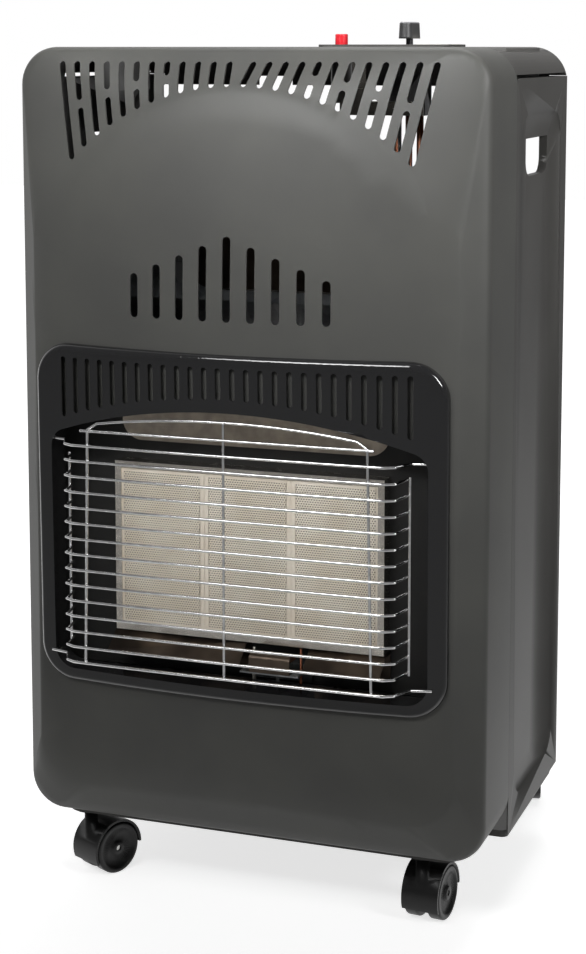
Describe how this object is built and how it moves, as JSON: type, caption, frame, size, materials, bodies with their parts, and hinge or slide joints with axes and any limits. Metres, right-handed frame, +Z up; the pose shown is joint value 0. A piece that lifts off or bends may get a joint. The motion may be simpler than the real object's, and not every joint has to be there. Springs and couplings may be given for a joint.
{
  "type": "portable gas heater",
  "caption": "Portable cabinet gas heater with ceramic radiant burners behind a wire guard, hand holes, top controls and swivel castors.",
  "frame": {"origin": "centre of the footprint's bounding box, on the floor", "axes": "+Z up, the front with the guard faces -Y, +X to the right seen from the front"},
  "size_m": [0.414, 0.4356, 0.761],
  "materials": {
    "shell_paint": "satin powder coat, charcoal",
    "panel_paint": "satin powder coat, charcoal",
    "gloss_enamel": "gloss black stove enamel",
    "chromed_wire": "bright",
    "ceramic": "matt unglazed ceramic",
    "gasket": "white ceramic fibre",
    "steel_bright": "bright rolled steel",
    "galvanised": "galvanised sheet",
    "black_steel": "matt black",
    "brass": "machined",
    "copper_tube": "drawn copper, dull",
    "die_cast": "die cast",
    "black_plastic": "moulded",
    "red_plastic": "moulded",
    "grey_plastic": "moulded",
    "castor_plastic": "moulded",
    "zinc_steel": "zinc plated"
  },
  "bodies": {
    "cabinet": {"front_shell": "shell_paint", "bezel": "gloss_enamel", "wire_guard": "chromed_wire", "plaque_gaskets": "gasket", "plaque_frame": "steel_bright", "burner_panel": "black_steel", "injector_bar": "galvanised", "reflector_top": "steel_bright", "reflector_bottom": "steel_bright", "pilot_bracket": "galvanised", "pilot_burner": "steel_bright", "heat_shield": "galvanised", "side_panel_left": "panel_paint", "side_panel_right": "panel_paint", "top_cover": "panel_paint", "base_tray": "panel_paint", "castor_sockets": "castor_plastic", "control_plate": "panel_paint", "gas_valve": "die_cast", "igniter_body": "grey_plastic", "hose_nozzle": "brass", "valve_bracket": "steel_bright", "pilot_pipe": "steel_bright", "thermocouple": "copper_tube", "ignition_electrode": "ceramic", "ignition_lead": "black_plastic", "plaque_left": "ceramic", "burner_box_left": "steel_bright", "injector_left": "brass", "gas_pipe_left": "copper_tube", "plaque_centre": "ceramic", "burner_box_centre": "steel_bright", "injector_centre": "brass", "gas_pipe_centre": "copper_tube", "plaque_right": "ceramic", "burner_box_right": "steel_bright", "injector_right": "brass", "gas_pipe_right": "copper_tube"},
    "valve_push": {"valve_plunger": "brass"},
    "knob": {"control_knob": "black_plastic", "valve_spindle": "zinc_steel"},
    "button": {"igniter_button": "red_plastic"},
    "castor_front_left": {"castor_hood_front_left": "castor_plastic"},
    "wheelset_front_left": {"castor_wheels_front_left": "castor_plastic", "castor_axle_front_left": "zinc_steel"},
    "castor_front_right": {"castor_hood_front_right": "castor_plastic"},
    "wheelset_front_right": {"castor_wheels_front_right": "castor_plastic", "castor_axle_front_right": "zinc_steel"},
    "castor_rear_left": {"castor_hood_rear_left": "castor_plastic"},
    "wheelset_rear_left": {"castor_wheels_rear_left": "castor_plastic", "castor_axle_rear_left": "zinc_steel"},
    "castor_rear_right": {"castor_hood_rear_right": "castor_plastic"},
    "wheelset_rear_right": {"castor_wheels_rear_right": "castor_plastic", "castor_axle_rear_right": "zinc_steel"}
  },
  "joints": [
    {"name": "knob_press", "type": "slide", "parent": "cabinet", "child": "valve_push", "axis": [0, 0, -1], "range_m": [0, 0.004], "stiffness_N_per_m": 400, "springref_m": -0.002},
    {"name": "knob_turn", "type": "hinge", "parent": "valve_push", "child": "knob", "pos_m": [0.104, -0.04415, 0.74], "axis": [0, 0, 1], "range_deg": [0, 230]},
    {"name": "igniter_push", "type": "slide", "parent": "cabinet", "child": "button", "axis": [0, 0, -1], "range_m": [0, 0.006], "stiffness_N_per_m": 600, "springref_m": -0.002},
    {"name": "castor_swivel_front_left", "type": "hinge", "parent": "cabinet", "child": "castor_front_left", "pos_m": [-0.164, -0.12815, 0.06], "axis": [0, 0, 1], "continuous": true},
    {"name": "castor_roll_front_left", "type": "hinge", "parent": "castor_front_left", "child": "wheelset_front_left", "pos_m": [-0.15611, -0.11197, 0.023], "axis": [0.8988, -0.4384, 0], "continuous": true},
    {"name": "castor_swivel_front_right", "type": "hinge", "parent": "cabinet", "child": "castor_front_right", "pos_m": [0.146, -0.12815, 0.06], "axis": [0, 0, 1], "continuous": true},
    {"name": "castor_roll_front_right", "type": "hinge", "parent": "castor_front_right", "child": "wheelset_front_right", "pos_m": [0.14788, -0.11025, 0.023], "axis": [0.9945, -0.1045, 0], "continuous": true},
    {"name": "castor_swivel_rear_left", "type": "hinge", "parent": "cabinet", "child": "castor_rear_left", "pos_m": [-0.163, 0.16985, 0.06], "axis": [0, 0, 1], "continuous": true},
    {"name": "castor_roll_rear_left", "type": "hinge", "parent": "castor_rear_left", "child": "wheelset_rear_left", "pos_m": [-0.16551, 0.18768, 0.023], "axis": [0.9903, 0.1392, 0], "continuous": true},
    {"name": "castor_swivel_rear_right", "type": "hinge", "parent": "cabinet", "child": "castor_rear_right", "pos_m": [0.163, 0.16985, 0.06], "axis": [0, 0, 1], "continuous": true},
    {"name": "castor_roll_rear_right", "type": "hinge", "parent": "castor_rear_right", "child": "wheelset_rear_right", "pos_m": [0.15895, 0.18739, 0.023], "axis": [0.9744, 0.225, 0], "continuous": true}
  ]
}
